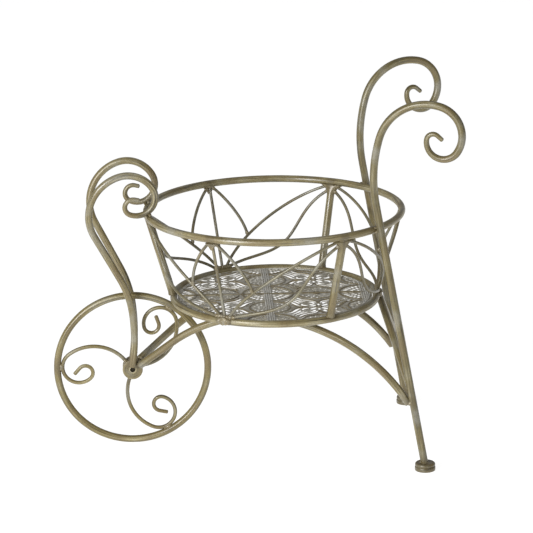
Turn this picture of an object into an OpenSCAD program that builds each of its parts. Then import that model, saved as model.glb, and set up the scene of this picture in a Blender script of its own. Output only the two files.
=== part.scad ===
// Wheelbarrow planter: a basket of bent rods on a one-wheel garden barrow frame.
// X runs along the barrow, wheel towards -X and handles towards +X; Z is up; the ground is z = 0.
// Left is -Y and right is +Y, as seen by someone holding the handles.

/* [Basket] */
// Radius of the top ring, to the middle of its rod
top_ring_r = 175; // [171:1:179]
// Radius of the base ring, to the middle of its rod
base_ring_r = 140; // [138:1:142]
// Height of the top ring above the ground, to the middle of its rod
top_ring_z = 331.8; // [327.8:0.5:335.8]
// Height of the base ring above the ground, to the middle of its rod
base_ring_z = 209.7; // [208.7:0.1:212.7]
// Angle in plan by which the posts and fans are turned from the barrow's line
basket_turn = -0.8; // [-2:0.1:2]

/* [Rods and wires] */
// Diameter of the ring, leg and arch rods
rod_d = 10; // [9.6:0.1:10.4]
// Diameter of the wheel rim, fork, brace and post rods
thin_rod_d = 9.5; // [9:0.1:10]
// Diameter of the forged tips of the scrolls
tip_d = 5.4; // [4.6:0.2:7]
// Diameter of the basket wires
wire_d = 3.8; // [3:0.1:4]
// Diameter of the wheel spokes
spoke_d = 5; // [4:0.1:5.4]

/* [Wheel] */
// Radius of the wheel rim, to the middle of its rod
wheel_r = 104.6; // [102.6:0.5:105.6]
// Distance from the basket's middle to the axle, along the barrow
axle_reach = 199; // [198:0.5:203]
// Gap that the wheel rim keeps from the base ring, however large the wheel
wheel_gap = 2; // [1:0.5:4]
// Diameter of the wheel hub
hub_d = 26; // [22:1:30]
// Width of the wheel hub
hub_w = 13; // [10:1:13]
// Outer diameter of the hollow axle sleeve
sleeve_d = 10; // [8:0.5:12]
// Bore of the hollow axle sleeve
sleeve_bore_d = 7; // [4:0.5:7.5]
// Radial gap between the sleeve and the hub that turns on it
hub_fit = 0.05; // [0.02:0.01:0.1]
// Diameter of the round lugs that carry the axle
lug_d = 28; // [26:1:30]
// Thickness of the lugs
lug_t = 4; // [3:0.5:5]

/* [Side frames] */
// Angle in plan at which the legs and handles open outward
leg_turn = 19; // [18:0.5:20]
// Lean of the legs in their own plane
leg_lean = 10.7; // [10.2:0.1:11.2]
// Angle in plan at which the arches open outward
arch_turn = 18.2; // [17.9:0.1:18.5]
// Outward tilt of the fork scrolls
fork_tilt = 5.8; // [5:0.1:6.6]
// Angle in plan by which the fork scrolls open towards the front
fork_toe = 4.8; // [4:0.1:5.6]

/* [Feet] */
// Diameter of the foot caps
foot_d = 28; // [24:1:34]
// Height of the foot caps
foot_h = 11; // [9:1:14]

/* [Base plate] */
// Thickness of the openwork base plate
plate_t = 2; // [1.5:0.1:3]
// Side of one square of its pattern
tile_w = 134; // [128:1:140]
// Width of a slot in the fans of the pattern
slot_w = 3; // [2:0.2:3.6]

/* [Hidden] */
$fn = 64;
seat = 0.05; // gap left between two rods that are welded together
knuckle = 0.1; // how far a ball at each change of bend stands out, to join the two lengths
rod_r = rod_d / 2;
thin_r = thin_rod_d / 2;
wire_r = wire_d / 2;
basket_x = 30.75; // puts the origin under the middle of the whole barrow
wheel_z = wheel_r + thin_r;
wheel_below = base_ring_z - wheel_z;
wheel_clear = base_ring_r + sqrt(max(0, pow(wheel_r + thin_r + rod_r + wheel_gap, 2) - pow(wheel_below, 2)));
axle_step = max(0, wheel_clear - 198.9); // a larger wheel moves forward, clear of the basket
axle_x = axle_reach + axle_step;
wheel_x = basket_x - axle_x;
lug_in = hub_w / 2 + 0.5; // half a millimetre of side play at each end of the hub
lug_out = lug_in + lug_t;

// Bend tables: [radius, angle] turns left for a positive angle, [0, length] is straight.
spoke_size = (wheel_r - thin_r - spoke_d / 2 - seat) / 98.73; // scales the scroll to touch the rim
spoke_path = [for (b = [[57.5, 93.2], [23.2, 187.6], [10.6, 185], [0, 12]])
    b[0] == 0 ? [0, b[1] * spoke_size] : [b[0] * spoke_size, b[1]]];
fork_rise = (top_ring_z - 331.8) / cos(fork_tilt) / sin(117.6);
fork_path = [[0, 5.3], [280, 15.2], [151, 21], [0, 71.73 + fork_rise], [58.7, -99.2], [40.1, -78.8]];
fork_tail = [[25.3, -140.4], [11.4, -192]];
leg_rise = 38.7; // straight length of a leg above the top ring
leg_path = [[176.7, -31.6], [63.5, -106.4]];
leg_tail = [[31.2, -165], [13.2, -206.8]];
arch_start = [10.4, wheel_z + 7.49];
arch_climb = 37.7;
arch_peak = base_ring_z - 2 * rod_r - seat;
arch_level = arch_peak - arch_start.y;
arch_spare = (axle_x - 199) / cos(arch_turn) - (arch_level - 82.81) / tan(arch_climb);
arch_size = 1 + arch_spare / 280; // keeps the ends of the arches at the legs
arch_top_r = 218 * arch_size;
arch_line = (arch_level - arch_top_r * (1 - cos(arch_climb))) / sin(arch_climb);
arch_path = [[0, arch_line], [arch_top_r, -44.7], [245.3 * arch_size, -51.2]];

// Where the left leg passes the top ring, and its middle line at any height.
leg_phi = 42.4;
leg_ring_gap = (2 * rod_r + seat) / cos(leg_lean); // the lean brings the rods closer
leg_r = top_ring_r + leg_ring_gap;
leg_pass = [basket_x + leg_r * cos(leg_phi), -leg_r * sin(leg_phi)];
function leg_at(z) = let (s = (top_ring_z - z) * tan(leg_lean))
    [leg_pass.x + s * cos(leg_turn), leg_pass.y - s * sin(leg_turn), z];
leg_foot_z = 4.5; // where the leg ends, inside its foot cap
brace_foot_z = 112; // where the brace meets the leg

// Basket wires, as curves of [angle from the fan, height] on the cone between the rings.
cone_slope = (top_ring_r - base_ring_r) / (top_ring_z - base_ring_z);
function cone_r(z) = base_ring_r + (z - base_ring_z) * cone_slope;
wire_more = wire_r - 1.9; // the curves below were set out for a wire of this radius
wire_low = base_ring_z + rod_r + wire_more;
wire_high = top_ring_z - rod_r - wire_more;
function rise(z) = wire_low + (z - 214.7) * (wire_high - wire_low) / (326.8 - 214.7);
post_side = 60 - (thin_r + wire_r - 0.68) / cone_r(318.6) * 180 / PI; // where a wire meets a post
upper_curve = [[2.5, 215.54], [10.7, 246.5], [40.7, 309.3], [57.4, 325.18]];
lower_curve = [[4.7, 216.3], [25.7, 233.9], [47.1, 224], [37.7, 280.9], [post_side, 318.6]];
post_beside = 60 - (thin_r + wire_r + 0.12) / cone_r(314.5) * 180 / PI; // where one runs up beside it
lower_high_curve = [[4.7, 216.3], [17.6, 240.1], [39.3, 253], [58.8, 245.5], [post_beside, 314.5]];
lower_low_curve = [[4.7, 216.3], [10.7, 217], [37.6, 236.4], [58.4, 235], [45.5, 262.1], [post_beside, 314.5]];
leaf_curve = [[1.7, 325.55], [7, 311.8], [15.6, 278.6], [17, 258.8 + 4 * wire_more]];

rod_colour = "#877a55";
wire_colour = "#8f8360";
wheel_colour = "#837652";
plate_colour = "#8b8772";
foot_colour = "#6b6146";

// General shapes

module in_xz() {
    rotate([90, 0, 0]) children();
}

module right_side() {
    mirror([0, 1, 0]) children();
}

// A round rod that follows a bend table in the XY plane, from the origin along +X.
module bent_rod(d, path, i = 0) {
    if (i < len(path)) {
        r = path[i][0];
        a = path[i][1];
        if (i > 0) rotate([0, 90, 0]) sphere(d = d + 2 * knuckle);
        if (r == 0) {
            rotate([0, 90, 0]) cylinder(d = d, h = a);
            translate([a, 0, 0]) bent_rod(d, path, i + 1);
        } else {
            side = sign(a);
            translate([0, side * r, 0])
                rotate([0, 0, side > 0 ? -90 : 90 - abs(a)])
                    rotate_extrude(angle = abs(a)) translate([r, 0]) circle(d = d);
            translate([r * sin(abs(a)), side * r * (1 - cos(a)), 0])
                rotate([0, 0, a]) bent_rod(d, path, i + 1);
        }
    }
}

// The end [x, y, heading] of one bend, and the stations along a whole table.
function bend_end(p, b) = b[0] == 0
    ? [p.x + b[1] * cos(p.z), p.y + b[1] * sin(p.z), p.z]
    : let (side = sign(b[1]), h = p.z + b[1])
        [p.x + side * b[0] * (sin(h) - sin(p.z)), p.y - side * b[0] * (cos(h) - cos(p.z)), h];
function path_end(p, path, i = 0) = i == len(path) ? p : path_end(bend_end(p, path[i]), path, i + 1);
function stations(p, path, step, i = 0) = i == len(path) ? [p]
    : let (b = path[i], n = ceil(abs(b[1]) / step))
        concat([for (k = [0 : n - 1]) k == 0 ? p : bend_end(p, [b[0], b[1] * k / n])],
               stations(bend_end(p, b), path, step, i + 1));

function loop(c, u, v, r, sides) =
    [for (j = [0 : sides - 1]) c + r * (cos(360 * j / sides) * u + sin(360 * j / sides) * v)];

// A closed skin over a row of loops that all have the same number of points.
module skin(loops) {
    n = len(loops[0]);
    m = len(loops);
    walls = [for (i = [0 : m - 2], j = [0 : n - 1]) let (k = (j + 1) % n, a = i * n, b = a + n)
        each [[a + j, b + j, b + k], [a + j, b + k, a + k]]];
    first = [for (j = [0 : n - 1]) j];
    last = [for (j = [n - 1 : -1 : 0]) (m - 1) * n + j];
    polyhedron(points = [for (l = loops) each l], faces = concat([first, last], walls), convexity = 6);
}

// A forged tail that thins from d to tip_d along a bend table, from the origin along +X.
module forged_tail(d, path) {
    lead = 1; // starts this far back, inside the rod it grows from
    line = concat([[-lead, 0, 0]], stations([0, 0, 0], path, 9));
    last = len(line) - 1;
    skin([for (i = [0 : last]) let (p = line[i], t = i / last)
        loop([p.x, p.y, 0], [-sin(p.z), cos(p.z), 0], [0, 0, 1],
             (d * (1 - t) + tip_d * t) / 2, 16)]);
}

module rod_between(p, q, d) {
    v = q - p;
    translate(p) rotate([0, acos(v.z / norm(v)), atan2(v.y, v.x)]) cylinder(d = d, h = norm(v));
}

module ring(r, d) {
    rotate_extrude($fn = 128) translate([r, 0]) circle(d = d);
}

// The wheel, drawn about its axle

module at_axle() {
    translate([wheel_x, 0, wheel_z]) in_xz() children();
}

module wheel_rim() {
    color(wheel_colour) at_axle() ring(wheel_r, thin_rod_d);
}

module wheel_hub() {
    color(wheel_colour) at_axle() difference() {
        cylinder(d = hub_d, h = hub_w, center = true);
        cylinder(d = sleeve_d + 2 * hub_fit, h = hub_w + 2, center = true);
    }
}

module spoke(turn) {
    color(wheel_colour) at_axle() rotate([0, 0, turn]) difference() {
        translate(spoke_size * [-6.97, 6.17, 0]) rotate([0, 0, 122.9]) bent_rod(spoke_d, spoke_path);
        cylinder(d = hub_d + 2 * seat, h = hub_w + 2, center = true);
    }
}

module spoke_front() {
    spoke(0);
}

module spoke_lower() {
    spoke(120);
}

module spoke_upper() {
    spoke(240);
}

// The axle and its lugs

module axle_sleeve() {
    color(rod_colour) at_axle() difference() {
        cylinder(d = sleeve_d, h = 2 * lug_out, center = true);
        cylinder(d = sleeve_bore_d, h = 2 * lug_out + 2, center = true);
    }
}

module axle_lug_left() {
    color(rod_colour) at_axle() translate([0, 0, lug_in]) difference() {
        cylinder(d = lug_d, h = lug_t);
        translate([0, 0, -1]) cylinder(d = sleeve_d + 0.04, h = lug_t + 2);
    }
}

module axle_lug_right() {
    right_side() axle_lug_left();
}

// The fork scrolls, from the lugs up to the front of the top ring

module fork_scroll_left() {
    inset = 0.55; // the tilt takes the rod this much away from the lug
    color(rod_colour) translate([wheel_x, -lug_out - thin_r + inset, wheel_z])
        rotate([0, 0, fork_toe]) rotate([90 + fork_tilt, 0, 0])
            translate([-0.4, 6.15, 0]) rotate([0, 0, 81.9]) {
                bent_rod(thin_rod_d, fork_path);
                tail = path_end([0, 0, 0], fork_path);
                translate([tail.x, tail.y, 0]) rotate([0, 0, tail.z]) forged_tail(thin_rod_d, fork_tail);
            }
}

module fork_scroll_right() {
    right_side() fork_scroll_left();
}

// The arches, from the lugs under the base plate to the legs

module leg_core(d) {
    rod_between(leg_at(leg_foot_z), leg_at(top_ring_z), d);
}

module arch_left() {
    color(rod_colour) difference() {
        translate([wheel_x, -lug_out - 1.4, 0]) rotate([0, 0, -arch_turn]) in_xz()
            translate([arch_start.x, arch_start.y, 0]) rotate([0, 0, arch_climb]) bent_rod(rod_d, arch_path);
        leg_core(rod_d + 2 * seat);
        at_axle() cylinder(d = lug_d + 10, h = 2 * (lug_out + seat), center = true);
    }
}

module arch_right() {
    right_side() arch_left();
}

// The legs, each one rod from the foot past the top ring into a scrolled handle

module leg_left() {
    reach = (top_ring_z - leg_foot_z) / cos(leg_lean);
    path = concat([[0, reach + leg_rise]], leg_path);
    color(rod_colour) translate(leg_at(leg_foot_z)) rotate([0, 0, -leg_turn]) in_xz()
        rotate([0, 0, 90 + leg_lean]) {
            bent_rod(rod_d, path);
            tail = path_end([0, 0, 0], path);
            translate([tail.x, tail.y, 0]) rotate([0, 0, tail.z]) forged_tail(rod_d, leg_tail);
        }
}

module leg_right() {
    right_side() leg_left();
}

module foot_left() {
    r = foot_d / 2;
    middle = leg_at(foot_h / 2);
    color(foot_colour) difference() {
        translate([middle.x, middle.y, 0]) rotate_extrude() polygon([
            [0, 0], [r, 0], [r, foot_h * 0.5], [r - 1.2, foot_h * 0.55], [r - 1.2, foot_h * 0.6],
            [r - 0.3, foot_h * 0.65], [r - 0.3, foot_h * 0.86], [r - 1, foot_h * 0.95],
            [r - 2.4, foot_h], [0, foot_h]]);
        translate(leg_at(leg_foot_z - seat)) rotate([0, 0, -leg_turn]) rotate([0, -leg_lean, 0])
            cylinder(d = rod_d + 2 * seat, h = foot_h); // the socket that takes the leg
    }
}

module foot_right() {
    right_side() foot_left();
}

// The braces, from the back of the base ring to the legs

module brace_left() {
    away = rod_r + thin_r + seat;
    back = [basket_x + base_ring_r + away * 0.55, -5.7, base_ring_z - away * 0.72];
    color(rod_colour) difference() {
        rod_between(back, leg_at(brace_foot_z), thin_rod_d);
        leg_core(rod_d + 2 * seat);
    }
}

module brace_right() {
    right_side() brace_left();
}

// The rings and the posts between them

module top_ring() {
    color(rod_colour) translate([basket_x, 0, top_ring_z]) ring(top_ring_r, rod_d);
}

module base_ring() {
    color(rod_colour) translate([basket_x, 0, base_ring_z]) ring(base_ring_r, rod_d);
}

module post(phi) {
    flare_d = 16;
    flare_h = 11;
    lean = atan(cone_slope);
    color(rod_colour) translate([basket_x, 0, 0]) rotate([0, 0, phi + basket_turn]) difference() {
        translate([base_ring_r, 0, base_ring_z]) rotate([0, lean, 0]) {
            long = (top_ring_z - base_ring_z) / cos(lean);
            cylinder(d = thin_rod_d, h = long);
            translate([0, 0, long - rod_r - flare_h])
                cylinder(d1 = thin_rod_d - 0.2, d2 = flare_d, h = flare_h + 2);
        }
        translate([0, 0, top_ring_z]) ring(top_ring_r, rod_d + 2 * seat);
        translate([0, 0, base_ring_z]) ring(base_ring_r, rod_d + 2 * seat);
        translate([0, 0, top_ring_z + 3]) cylinder(r = top_ring_r + 30, h = 20);
    }
}

module post_front() {
    post(180);
}

module post_left() {
    post(-60);
}

module post_right() {
    post(60);
}

// The basket wires, three fans of seven that meet the posts and the rings

function blend(c, t) = len(c) == 1 ? c[0]
    : blend([for (i = [0 : len(c) - 2]) c[i] * (1 - t) + c[i + 1] * t], t);
function on_cone(p) = let (z = rise(p.y), r = cone_r(z)) [r * cos(p.x), r * sin(p.x), z];

module cone_wire(curve) {
    steps = 22;
    sides = 10;
    skin([for (i = [0 : steps])
        let (
            t = i / steps,
            c = on_cone(blend(curve, t)),
            ahead = on_cone(blend(curve, t + 0.01)) - on_cone(blend(curve, t - 0.01)),
            along = ahead / norm(ahead),
            out = [c.x, c.y, 0] / norm([c.x, c.y]),
            flat = out - (out * along) * along,
            u = flat / norm(flat)
        )
        loop(c, u, cross(along, u), wire_r, sides)]);
}

// One wire on each side of a fan; the hand-bent lower ones aren't all alike.
module wire_pair(curve, phi, other = undef) {
    color(wire_colour) translate([basket_x, 0, 0]) rotate([0, 0, phi + basket_turn]) {
        cone_wire(curve);
        mirror([0, 1, 0]) cone_wire(is_undef(other) ? curve : other);
    }
}

module midrib(phi) {
    clear = (rod_r + 2 * seat) * cos(atan(cone_slope)); // from a ring's middle to the end of the wire
    low = base_ring_z + clear;
    high = top_ring_z - clear;
    color(wire_colour) translate([basket_x, 0, 0]) rotate([0, 0, phi + basket_turn])
        rod_between([cone_r(low), 0, low], [cone_r(high), 0, high], wire_d);
}

module midrib_rear() {
    midrib(0);
}

module midrib_left() {
    midrib(-120);
}

module midrib_right() {
    midrib(120);
}

module upper_wires_rear() {
    wire_pair(upper_curve, 0);
}

module upper_wires_left() {
    wire_pair(upper_curve, -120);
}

module upper_wires_right() {
    wire_pair(upper_curve, 120);
}

module lower_wires_rear() {
    wire_pair(lower_curve, 0);
}

module lower_wires_left() {
    wire_pair(lower_curve, -120, lower_low_curve);
}

module lower_wires_right() {
    wire_pair(lower_high_curve, 120, lower_curve);
}

module leaf_wires_rear() {
    wire_pair(leaf_curve, 0);
}

module leaf_wires_left() {
    wire_pair(leaf_curve, -120);
}

module leaf_wires_right() {
    wire_pair(leaf_curve, 120);
}

// The openwork base plate: a square pattern of corner fans and four-leaf flowers

// One fan of slots in a corner of a square, opening towards +X +Y.
module fan_slots() {
    for (a = [22 : 23 : 68]) rotate([0, 0, a]) translate([13, -slot_w / 2]) square([8, slot_w]);
    for (a = [15 : 15 : 75]) rotate([0, 0, a]) translate([24, -slot_w / 2]) square([9, slot_w]);
}

// The openings beside one leaf that points along +X, with its tip at 44.
module leaf_openings() {
    bulge = 20.6; // radius of a leaf's edge
    for (s = [0, 1]) mirror([0, s]) intersection() {
        difference() {
            translate([27, 4.2 - 11.6]) circle(r = bulge);
            translate([27, -11.6]) circle(r = bulge);
        }
        translate([9, 2.5]) square([36, 14]);
    }
    translate([18, -0.8]) square([17, 1.6]);
}

module tile_openings() {
    corner = tile_w / 2;
    for (a = [0 : 90 : 270]) rotate([0, 0, a]) {
        translate([-corner, -corner]) fan_slots();
        rotate([0, 0, 45]) leaf_openings();
        translate([20, 0]) circle(r = 3.6);
        translate([27.5, 0]) circle(r = 2);
        for (s = [-1, 1]) rotate([0, 0, s * 17]) translate([33, 0]) circle(r = 2.6);
        for (y = [-7 : 7 : 7]) translate([corner - 17, y - 1.2]) square([8, 2.4]);
    }
}

module base_plate() {
    edge = base_ring_r - rod_r - seat;
    border = 4; // plain strip round the rim
    shift = [-10, 2.6];
    color(plate_colour) translate([basket_x, 0, base_ring_z - plate_t / 2]) {
        linear_extrude(plate_t) difference() {
            circle(r = edge, $fn = 128);
            intersection() {
                circle(r = edge - border, $fn = 128);
                translate(shift) for (x = [-0.5, 0.5], y = [-0.5, 0.5])
                    translate([x * tile_w, y * tile_w]) tile_openings();
            }
        }
        translate([0, 0, plate_t]) linear_extrude(1) intersection() {
            circle(r = edge - border, $fn = 128);
            translate([shift.x - 150, shift.y - 1.5]) square([300, 3]);
        }
    }
}

wheel_rim();
wheel_hub();
spoke_front();
spoke_lower();
spoke_upper();
axle_sleeve();
axle_lug_left();
axle_lug_right();
fork_scroll_left();
fork_scroll_right();
arch_left();
arch_right();
leg_left();
leg_right();
foot_left();
foot_right();
brace_left();
brace_right();
top_ring();
base_ring();
base_plate();
post_front();
post_left();
post_right();
midrib_rear();
midrib_left();
midrib_right();
upper_wires_rear();
upper_wires_left();
upper_wires_right();
lower_wires_rear();
lower_wires_left();
lower_wires_right();
leaf_wires_rear();
leaf_wires_left();
leaf_wires_right();
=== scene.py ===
import math

import bpy
from mathutils import Matrix, Vector, kdtree, noise


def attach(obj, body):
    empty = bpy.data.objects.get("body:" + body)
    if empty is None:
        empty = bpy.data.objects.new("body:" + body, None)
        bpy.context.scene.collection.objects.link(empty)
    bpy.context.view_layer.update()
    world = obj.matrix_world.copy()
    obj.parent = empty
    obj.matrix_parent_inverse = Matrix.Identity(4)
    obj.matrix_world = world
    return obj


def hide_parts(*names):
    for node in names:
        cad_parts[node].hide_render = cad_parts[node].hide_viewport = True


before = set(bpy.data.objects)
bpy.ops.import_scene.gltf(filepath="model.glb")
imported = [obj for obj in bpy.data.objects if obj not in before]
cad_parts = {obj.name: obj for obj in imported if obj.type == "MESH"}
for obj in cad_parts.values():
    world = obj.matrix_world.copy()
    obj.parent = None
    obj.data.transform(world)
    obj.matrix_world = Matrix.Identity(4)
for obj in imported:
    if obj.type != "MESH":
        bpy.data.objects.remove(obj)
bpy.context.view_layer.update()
print("frame loaded:", len(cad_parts), "nodes")

mm = 0.001
up = Vector((0, 0, 1))


def sind(angle):
    return math.sin(math.radians(angle))


def cosd(angle):
    return math.cos(math.radians(angle))


def tand(angle):
    return math.tan(math.radians(angle))


def ease(t):
    t = min(1.0, max(0.0, t))
    return t * t * (3 - 2 * t)


# Sizes of the planter in millimetres and degrees, as in the part's own source
barrow = {
    "basketX": 30.75,
    "axleReach": 199.0,
    "topRingRadius": 175.0,
    "baseRingRadius": 140.0,
    "topRingHeight": 331.8,
    "baseRingHeight": 209.7,
    "basketTurn": -0.8,
    "rod": 10.0,
    "thinRod": 9.5,
    "tip": 5.4,
    "wire": 3.8,
    "spoke": 5.0,
    "wheelRadius": 104.6,
    "legTurn": 19.0,
    "legLean": 10.7,
    "archTurn": 18.2,
    "forkTilt": 5.8,
    "forkToe": 4.8,
    "seat": 0.05,  # left between two rods that are welded together
    "coat": 0.22,  # the paint's build over rods and wires
}
basketX = barrow["basketX"]
wheelX = basketX - barrow["axleReach"]
wheelZ = barrow["wheelRadius"] + barrow["thinRod"] / 2
topZ = barrow["topRingHeight"]
baseZ = barrow["baseRingHeight"]
topR = barrow["topRingRadius"]
baseR = barrow["baseRingRadius"]
rodR = barrow["rod"] / 2
thinR = barrow["thinRod"] / 2
wireR = barrow["wire"] / 2
tipR = barrow["tip"] / 2
seat = barrow["seat"]
lean = barrow["legLean"]
lugIn, lugOut = 7.0, 11.0  # the faces of the axle's lugs, from the middle of the wheel


# Materials

def linearColour(code):
    parts = [int(code[i:i + 2], 16) / 255 for i in (1, 3, 5)]
    return tuple(v / 12.92 if v <= 0.04045 else ((v + 0.055) / 1.055) ** 2.4 for v in parts) + (1.0,)


def addNode(tree, kind, settings=None, links=None):
    # settings name a socket or a property of the node; links give a socket and where it comes from
    node = tree.nodes.new(kind)
    for key, value in (settings or {}).items():
        if isinstance(key, int) or key in node.inputs:
            node.inputs[key].default_value = value
        else:
            setattr(node, key, value)
    for key, source in (links or {}).items():
        tree.links.new(source, node.inputs[key])
    return node


def colourRamp(tree, factor, stops):
    node = addNode(tree, "ShaderNodeValToRGB", links={"Fac": factor})
    marks = node.color_ramp.elements
    while len(marks) < len(stops):
        marks.new(0.5)
    for mark, (place, code) in zip(marks, stops):
        mark.position = place
        mark.color = linearColour(code)
    return node.outputs[0]


def mixColour(tree, factor, low, high, blend="MIX"):
    node = addNode(tree, "ShaderNodeMix", {"data_type": "RGBA", "blend_type": blend})
    for socket, value in ((0, factor), (6, low), (7, high)):
        if isinstance(value, bpy.types.NodeSocket):
            tree.links.new(value, node.inputs[socket])
        else:
            node.inputs[socket].default_value = linearColour(value) if isinstance(value, str) else value
    return node.outputs[2]


def newMaterial(name):
    material = bpy.data.materials.new(name)
    material.use_nodes = True
    tree = material.node_tree
    tree.nodes.clear()
    return material, tree


def paintSurface(tree, look, coat, glossBy, reliefBy, strength):
    # the face of the paint: its gloss wanders between two values, and its relief is drawn as bump
    rough = addNode(tree, "ShaderNodeMapRange", {"From Min": 0.3, "From Max": 0.7, "To Min": look["roughLow"],
                                                 "To Max": look["roughHigh"]}, {"Value": glossBy})
    bump = addNode(tree, "ShaderNodeBump", {"Strength": strength, "Distance": look["relief"] * mm},
                   {"Height": reliefBy})
    shader = addNode(tree, "ShaderNodeBsdfPrincipled",
                     {"Metallic": look["metallic"], "Specular IOR Level": look["shine"]},
                     {"Base Color": coat, "Roughness": rough.outputs[0], "Normal": bump.outputs[0]})
    addNode(tree, "ShaderNodeOutputMaterial", links={"Surface": shader.outputs[0]})


def brushedPatinaPaint(name, look):
    # Antique bronze paint, brushed on by hand over a dark coat and rubbed back: thin streaks run along each
    # rod, the high spots are paler, and the welded joints are darkened to brown: dirt and painted shade.
    material, tree = newMaterial(name)
    rodLine = addNode(tree, "ShaderNodeAttribute", {"attribute_name": "rodLine"}).outputs["Vector"]
    grimeAndShade = addNode(tree, "ShaderNodeAttribute", {"attribute_name": "grimeAndShade"}).outputs["Fac"]
    across = 1000 / look["streakWidth"]
    along = 1000 / look["streakLength"]
    stretched = addNode(tree, "ShaderNodeMapping", {"Scale": (along, across, across)}, {"Vector": rodLine})
    streaks = addNode(tree, "ShaderNodeTexNoise", {"Scale": 1.0, "Detail": 4.0, "Roughness": 0.62},
                      {"Vector": stretched.outputs[0]}).outputs[0]
    broad = addNode(tree, "ShaderNodeTexNoise", {"Scale": 1000 / look["patchSize"], "Detail": 3.0,
                                                 "Roughness": 0.55}, {"Vector": rodLine}).outputs[0]
    speckle = addNode(tree, "ShaderNodeTexNoise", {"Scale": 1000 / look["speckleSize"], "Detail": 2.0},
                      {"Vector": rodLine}).outputs[0]
    coat = colourRamp(tree, streaks, [(0.34, look["dark"]), (0.47, look["middle"]), (0.56, look["middle"]),
                                      (0.70, look["pale"])])
    patches = colourRamp(tree, broad, [(0.36, "#ffffff"), (0.50, "#000000")])
    coat = mixColour(tree, patches, coat, mixColour(tree, 0.6, coat, look["brown"]))
    greys = colourRamp(tree, broad, [(0.50, "#000000"), (0.66, "#b4b4b4")])
    coat = mixColour(tree, greys, coat, look["grey"])
    dots = colourRamp(tree, speckle, [(0.36, "#9a9a9a"), (0.45, "#ffffff")])
    coat = mixColour(tree, 0.5, coat, dots, "MULTIPLY")
    # painted shade and dirt: the coat turns darker and browner toward the welded joints
    coat = mixColour(tree, grimeAndShade, coat, mixColour(tree, 0.75, coat, look["grimeAndShade"]))
    relief = addNode(tree, "ShaderNodeMath", {"operation": "ADD"}, {0: streaks, 1: speckle})
    paintSurface(tree, look, coat, streaks, relief.outputs[0], 0.35)
    return material


rodPaintLook = {
    "dark": "#383122",
    "middle": "#7c714c",
    "pale": "#b9b091",
    "brown": "#71613f",
    "grey": "#96968f",
    # the brown of dirt and painted shade at the joints
    "grimeAndShade": "#52472f",
    "streakWidth": 1.9,  # mm, the mark left by a few bristles of a soft brush
    "streakLength": 60.0,
    "patchSize": 45.0,
    "speckleSize": 1.1,  # mm, dust caught in the wet paint, drawn as coarse as it needs to show
    "roughLow": 0.26,
    "roughHigh": 0.46,
    "metallic": 0.08,
    "shine": 0.75,
    "relief": 0.25,
}


def paintLikeRods(name, **changes):
    return brushedPatinaPaint(name, {**rodPaintLook, **changes})


rodPaint = paintLikeRods("brushedBronzePaintRods")
# a little paler than the rods
ringPaint = paintLikeRods("brushedBronzePaintRings", dark="#453d2c", middle="#887d57")
# greyer, with shorter and finer streaks
wirePaint = paintLikeRods("brushedBronzePaintWires", dark="#353024", middle="#716a50", pale="#a9a185",
                          streakWidth=1.6, streakLength=35.0)
# darker between the pale streaks
legPaint = paintLikeRods("brushedBronzePaintLegs", dark="#2d271a", middle="#6d633d", pale="#aaa07e")
# olive, with long streaks round the rim
wheelPaint = paintLikeRods("brushedBronzePaintWheel", dark="#393020", middle="#7a6e42", pale="#b2a780",
                           streakLength=80.0, patchSize=60.0)
# darker, in small blotches
footPaint = paintLikeRods("brushedBronzePaintFeet", dark="#332c1d", middle="#625737", pale="#8a7e5c",
                          grey="#77725f", streakWidth=2.0, streakLength=20.0, patchSize=12.0)
# small blotches and a coarse relief over lumpy metal
weldPaint = paintLikeRods("paintedWeldBeads", dark="#564b33", middle="#85795a", pale="#bdb28c",
                          streakWidth=2.2, streakLength=4.0, patchSize=7.0, speckleSize=0.8, relief=0.5)


def paintedSheetSteel(name, look):
    # Pressed sheet steel under the same bronze paint, thinner and greyer: it is pale where pots have
    # rubbed it, with short darker marks between, broad brown stains and fine dark grit.
    material, tree = newMaterial(name)
    place = addNode(tree, "ShaderNodeTexCoord").outputs["Object"]
    broad = addNode(tree, "ShaderNodeTexNoise", {"Scale": 1000 / look["patchSize"], "Detail": 4.0,
                                                 "Roughness": 0.6}, {"Vector": place}).outputs[0]
    drawn = addNode(tree, "ShaderNodeMapping", {"Scale": (1000 / look["rubLength"], 1000 / look["rubWidth"],
                                                          1000 / look["rubWidth"])}, {"Vector": place})
    rubs = addNode(tree, "ShaderNodeTexNoise", {"Scale": 1.0, "Detail": 4.0, "Roughness": 0.65},
                   {"Vector": drawn.outputs[0]}).outputs[0]
    grains = addNode(tree, "ShaderNodeTexNoise", {"Scale": 1000 / look["grainSize"], "Detail": 2.0},
                     {"Vector": place}).outputs[0]
    coat = colourRamp(tree, rubs, [(0.30, look["dark"]), (0.48, look["middle"]), (0.70, look["pale"])])
    brown = colourRamp(tree, broad, [(0.50, "#000000"), (0.66, "#b8b8b8")])
    coat = mixColour(tree, brown, coat, look["brown"])
    dots = colourRamp(tree, grains, [(0.34, "#8a8a8a"), (0.47, "#ffffff")])
    coat = mixColour(tree, 0.6, coat, dots, "MULTIPLY")
    paintSurface(tree, look, coat, broad, grains, 0.4)
    return material


platePaint = paintedSheetSteel("wornBronzePaintOnSheet", {
    "dark": "#756f5f",
    "middle": "#bdb9ab",
    "pale": "#efede7",
    "brown": "#8f8262",
    "patchSize": 26.0,
    "rubWidth": 2.0,
    "rubLength": 6.0,
    "grainSize": 1.6,  # mm, grit under the paint, drawn as coarse as it needs to show
    "roughLow": 0.4,
    "roughHigh": 0.62,
    "metallic": 0.1,
    "shine": 0.5,
    "relief": 0.3,
})
# short streaks on the raised pattern
ridgePaint = paintLikeRods("brushedBronzePaintRidges", middle="#84785a", pale="#b3a987", streakLength=20.0)
# rubbed pale, nearly white where it is highest
bandPaint = paintLikeRods("rubbedBronzePaintBands", dark="#a5a399", middle="#d6d4cc", pale="#f0efe9",
                          brown="#b0a995", streakLength=20.0, streakWidth=1.6)
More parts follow.
